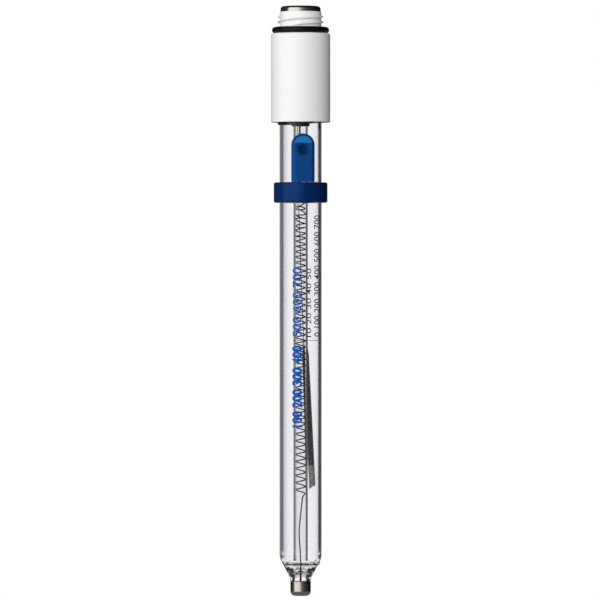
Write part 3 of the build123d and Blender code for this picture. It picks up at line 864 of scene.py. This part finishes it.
# Each column of marks: its name and numbers, its left and right edges and lowest and highest
# rows in the photograph, its ink, and how far its letters are thickened
mark_columns = [
    ("scale_bold", "100 200 300 400", 292.2, 302.3, 427, 345.5, blue_ink, 0.035),
    ("scale_plain", "500 600 700", 292.6, 301.6, 336.5, 267.5, blue_ink, 0.008),
    ("scale_small", "10 20 30 40 50", 306.5, 311.2, 337, 268.5, navy_ink, 0.004),
    ("scale_side", "0 100 200 300 400 500 600 700", 314.0, 319.3, 336.5, 215.5, navy_ink, 0.006),
]
line_z = 73.2 * mm
line_half = 0.07 * mm


def dividing_line():
    """A thin line round part of the shaft between two columns of marks: a flat strip laid on
    the glass, its arc one way and its width the other."""
    arc = np.linspace(-2.2, 6.4, 60) * mm
    height = line_z + np.array([-line_half, line_half])[:, None]
    points = wrap_on_shaft(arc + 0 * height, height + 0 * arc)
    piece = mesh_piece("dividing_line", points.reshape(-1, 3), grid_faces(2, 60))
    finish_piece(piece, SHAFT, navy_ink)


# Small traces of the making


def resin_run():
    """Resin that ran down the outside of the shaft from under the head: a rod half sunk in the
    glass, whose radius swells and shrinks a little on its way down and ends in a drop."""
    share = np.linspace(0, 1, 24)
    beside = 5.27 * mm
    path = place(beside, -np.sqrt(shaft_r**2 - beside**2), (135.9 - 2.3 * share) * mm)
    radius = (0.46 - 0.12 * share + 0.05 * np.sin(share * 9)) * mm
    piece = tube("resin_run", path, radius, 16, aside=(1.0, 0.2, 0.0))
    finish_piece(piece, SHAFT, sealant)


def cement_line():
    """The thin brown line of cement between the tip's rim and the neck: a small ring."""
    outline = [(-0.2, -0.1), (0.02, -0.1), (0.02, 0.12), (-0.2, 0.12)]
    profile = np.array(outline) * mm + np.array([tip_r, tip_top])
    piece = turned("cement_line", profile, 96, closed=True)
    finish_piece(piece, SHAFT, cement, sharp=40)


# Studio

# The lamps: how far round to the left of the camera each stands, its height and its power
lamp_distance = 1.0
lamp_size = (0.7, 1.0)
lamp_aim = (0, 0, 0.085)
lamp_places = [
    ("key_light", 12, 0.25, 9.1),
    ("left_light", 80, 0.15, 3.8),
    ("back_light", 178, 0.3, 3.0),
]
fill_level = 0.25
# A ray that has passed more surfaces than this came through the hollow part of the glass
hollow_depth = 3.5


def new_lamp(name, place_at, aim, size, power):
    """A soft square lamp at a place, aimed at a point."""
    light = bpy.data.lights.new(name, "AREA")
    light.shape = "RECTANGLE"
    light.size, light.size_y = size
    light.energy = power
    lamp = bpy.data.objects.new(name, light)
    bpy.context.scene.collection.objects.link(lamp)
    lamp.location = place_at
    lamp.rotation_euler = (Vector(aim) - Vector(place_at)).to_track_quat("-Z", "Y").to_euler()
    lamp.visible_camera = False
    lamp.visible_glossy = False
    lamp.visible_transmission = False
    return lamp


def panorama(world, turn, stops):
    """Colours round the studio: each stop is how many degrees to the left of the camera it
    stands, and its brightness or colour, with smooth steps between."""
    ramp = world.nodes.new("ShaderNodeValToRGB")
    marks = ramp.color_ramp.elements
    for k, (degrees, value) in enumerate(stops):
        mark = marks[k] if k < 2 else marks.new(1.0)
        mark.position = degrees / 360
        mark.color = (*(value if isinstance(value, tuple) else (value,) * 3), 1)
    world.links.new(turn, ramp.inputs["Fac"])
    return ramp.outputs["Color"]


def world_math(world, operation, *values):
    """One sum of the world's shader: each value is a number or the socket that gives it."""
    node = world.nodes.new("ShaderNodeMath")
    node.operation = operation
    for slot, value in zip(node.inputs, values):
        if isinstance(value, (int, float)):
            slot.default_value = value
        else:
            world.links.new(value, slot)
    return node.outputs[0]


def world_mix(world, share, first, second):
    """The first colour, or the second where the share is 1."""
    node = world.nodes.new("ShaderNodeMix")
    node.data_type = "RGBA"
    for label, value in (("Factor", share), ("A", first), ("B", second)):
        slot = node.inputs[label]
        if isinstance(value, tuple):
            slot.default_value = (*value, 1)
        else:
            world.links.new(value, slot)
    return node.outputs["Result"]


def studio_world():
    """White for the camera. Mirrors see a dark room with a soft box at the left of the camera.
    Glass sees a pale backdrop that dims to the left and upwards. A ray that has passed only a
    few surfaces counts as one through the solid neck and sees black flags on both sides, and a
    ray that was mirrored inside the glass sees the dark sides of the room."""
    scene_world = bpy.data.worlds.new("studio")
    bpy.context.scene.world = scene_world
    scene_world.use_nodes = True
    world = scene_world.node_tree
    path = world.nodes.new("ShaderNodeLightPath").outputs
    toward = world.nodes.new("ShaderNodeTexCoord").outputs["Generated"]
    shares = []
    for direction in (across_dir, behind_dir):
        dot = world.nodes.new("ShaderNodeVectorMath")
        dot.operation = "DOT_PRODUCT"
        dot.inputs[1].default_value = direction
        world.links.new(toward, dot.inputs[0])
        shares.append(dot.outputs["Value"])
    split = world.nodes.new("ShaderNodeSeparateXYZ")
    world.links.new(toward, split.inputs[0])
    height = world_math(world, "ABSOLUTE", split.outputs["Z"])
    right_of_back = world_math(world, "ARCTAN2", shares[0], shares[1])
    turn = world_math(world, "MULTIPLY_ADD", right_of_back, 1 / (2 * math.pi), 0.5)

    mirror_stops = [
        (0, (0.5, 0.46, 0.38)), (12, 0.86), (24, 1.08), (58, 1.12), (70, 1.05), (78, 0.2), (88, 0.07),
        (102, 0.045), (122, 0.02), (152, 0.04), (190, 0.02), (240, 0.004), (276, 0.012), (303, 0.03),
        (327, (0.07, 0.062, 0.056)), (338, (0.13, 0.105, 0.085)), (349, (0.24, 0.2, 0.15)),
        (360, (0.5, 0.46, 0.38)),
    ]
    hollow_stops = [
        (0, 0.98), (90, 0.98), (120, (0.7, 0.7, 0.74)), (138, (0.36, 0.36, 0.42)),
        (149, (0.5, 0.5, 0.58)),
        (163, (0.76, 0.76, 0.82)), (174, (0.96, 0.96, 0.97)), (180, 1.0), (215, 1.0),
        (270, 0.98), (360, 0.98),
    ]
    solid_stops = [
        (0, 0.9), (118, 0.9), (123, 0.02), (156, 0.02), (160, 0.95), (202, 0.95), (205, 0.02), (222, 0.02),
        (226, 0.92), (360, 0.9),
    ]
    turned_stops = [
        (0, 0.1), (110, 0.1), (132, (0.12, 0.12, 0.13)), (150, 0.16), (165, 0.33), (172, 0.5), (180, 0.25),
        (188, 0.06), (210, (0.045, 0.045, 0.075)), (228, (0.12, 0.12, 0.15)), (245, 0.08), (360, 0.1),
    ]
    low_enough = world.nodes.new("ShaderNodeMapRange")
    low_enough.inputs["From Min"].default_value = 0.6
    low_enough.inputs["From Max"].default_value = 0.42
    low_enough.inputs["To Min"].default_value = 0.05
    world.links.new(height, low_enough.inputs["Value"])
    in_box = world.nodes.new("ShaderNodeMapRange")
    in_box.inputs["From Min"].default_value = 0.72
    in_box.inputs["From Max"].default_value = 0.58
    in_box.inputs["To Min"].default_value = 0.02
    world.links.new(height, in_box.inputs["Value"])

    mirror = panorama(world, turn, mirror_stops)
    hollow = panorama(world, turn, hollow_stops)
    solid = panorama(world, turn, solid_stops)
    turned_aside = panorama(world, turn, turned_stops)
    walls = world_math(world, "GREATER_THAN", path["Transmission Depth"], hollow_depth)
    seen = world_mix(world, walls, solid, hollow)
    seen = world_mix(world, low_enough.outputs[0], (0.03, 0.03, 0.035), seen)
    bounced = world_math(world, "GREATER_THAN", path["Glossy Depth"], 0.5)
    upward = world.nodes.new("ShaderNodeMapRange")
    upward.inputs["From Min"].default_value = 0.12
    upward.inputs["From Max"].default_value = 0.3
    world.links.new(height, upward.inputs["Value"])
    turned_aside = world_mix(world, upward.outputs[0], turned_aside, (0.01, 0.01, 0.016))
    seen = world_mix(world, bounced, seen, turned_aside)
    mirror = world_mix(world, in_box.outputs[0], (0.02, 0.02, 0.02), mirror)
    seen = world_mix(world, path["Is Transmission Ray"], mirror, seen)
    scattered = world_math(world, "GREATER_THAN", path["Diffuse Depth"], 0.5)
    scattered = world_math(world, "MAXIMUM", scattered, path["Is Diffuse Ray"])
    seen = world_mix(world, scattered, seen, (fill_level, fill_level, fill_level))
    seen = world_mix(world, path["Is Camera Ray"], seen, (1.0, 1.0, 1.0))
    world.links.new(seen, world.nodes["Background"].inputs["Color"])


def studio_floor():
    """A pale floor well below the object, which is held in the air."""
    size, drop = 0.8, -0.09
    corners = np.array([(-size, -size, drop), (size, -size, drop), (size, size, drop), (-size, size, drop)])
    floor = mesh_piece("floor", corners, np.array([[0, 1, 2, 3]]))
    material = new_material("pale_floor", (0.2, 0.2, 0.2), Roughness=0.9)
    nodes, link = material.node_tree.nodes, material.node_tree.links.new
    shader = nodes["Principled BSDF"]
    shader.inputs["Emission Color"].default_value = (1, 1, 1, 1)
    path = nodes.new("ShaderNodeLightPath")
    glow = nodes.new("ShaderNodeMath")
    glow.operation = "MULTIPLY"
    glow.inputs[1].default_value = 0.8
    seen = nodes.new("ShaderNodeMath")
    seen.operation = "MAXIMUM"
    link(path.outputs["Is Camera Ray"], seen.inputs[0])
    link(path.outputs["Is Transmission Ray"], seen.inputs[1])
    link(seen.outputs[0], glow.inputs[0])
    link(glow.outputs[0], shader.inputs["Emission Strength"])
    floor.data.materials.append(material)


def studio_camera():
    """The camera looks level at the middle of the object from the photograph's direction."""
    data = bpy.data.cameras.new("camera")
    data.sensor_width = 36.0
    data.lens = data.sensor_width * camera_distance / (photo_px / px_per_mm * mm)
    data.clip_end = 100
    camera = bpy.data.objects.new("camera", data)
    bpy.context.scene.collection.objects.link(camera)
    middle = place(
        (photo_px / 2 - axis_px) / px_per_mm * mm, 0, (foot_px - photo_px / 2) / px_per_mm * mm
    )
    camera.location = middle - behind_dir * camera_distance
    camera.rotation_euler = Vector(behind_dir).to_track_quat("-Z", "Y").to_euler()
    bpy.context.scene.camera = camera


def studio():
    """Camera, floor, world and lamps."""
    scene = bpy.context.scene
    scene.view_settings.view_transform = "Standard"
    scene.cycles.max_bounces = 24
    scene.cycles.transmission_bounces = 24
    scene.cycles.glossy_bounces = 12
    scene.cycles.transparent_max_bounces = 24
    studio_camera()
    studio_floor()
    studio_world()
    for name, left, height, power in lamp_places:
        turn = math.radians(left)
        spot = (-across_dir * math.sin(turn) - behind_dir * math.cos(turn)) * lamp_distance
        new_lamp(name, (spot[0], spot[1], height), lamp_aim, lamp_size, power)


studio()
dress_cad_nodes()
glass_body()
coiled_wire()
plug_thread()
paint_flap_light_and_shade()
flap_body()
flap_stud()
for column in mark_columns:
    printed_column(*column)
dividing_line()
resin_run()
cement_line()
